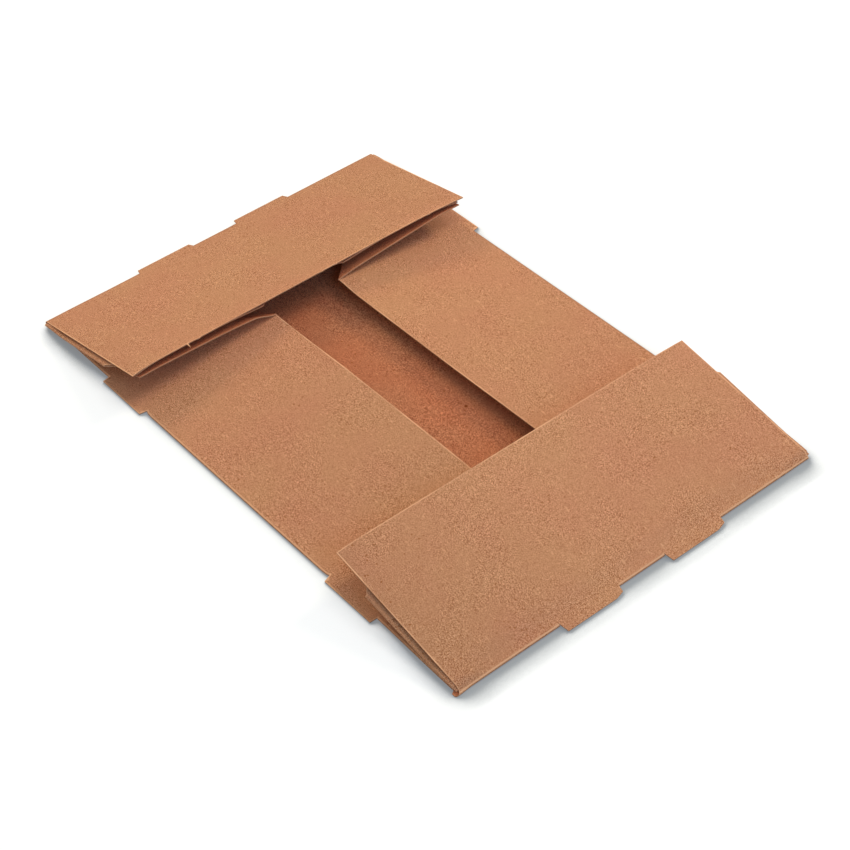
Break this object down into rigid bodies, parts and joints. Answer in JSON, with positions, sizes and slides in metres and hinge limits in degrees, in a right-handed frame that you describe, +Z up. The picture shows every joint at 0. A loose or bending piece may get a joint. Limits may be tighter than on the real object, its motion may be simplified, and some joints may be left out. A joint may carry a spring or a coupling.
{
  "type": "pop-up food tray",
  "caption": "Uncoated kraft paperboard food tray with glued corners, folded flat with its walls sprung slightly open, ready to pop up into a shallow open tray.",
  "frame": {"origin": "under the middle of the base, on the surface that the tray lies on", "axes": "+X along the tray from one end wall to the other, +Y across it from one side wall to the other, +Z up"},
  "size_m": [0.2246, 0.142, 0.0148],
  "materials": {
    "kraft_board": "matte, uncoated brown kraft with fine fibre flecks"
  },
  "bodies": {
    "root": {"folded_tray": "kraft_board"}
  },
  "joints": []
}
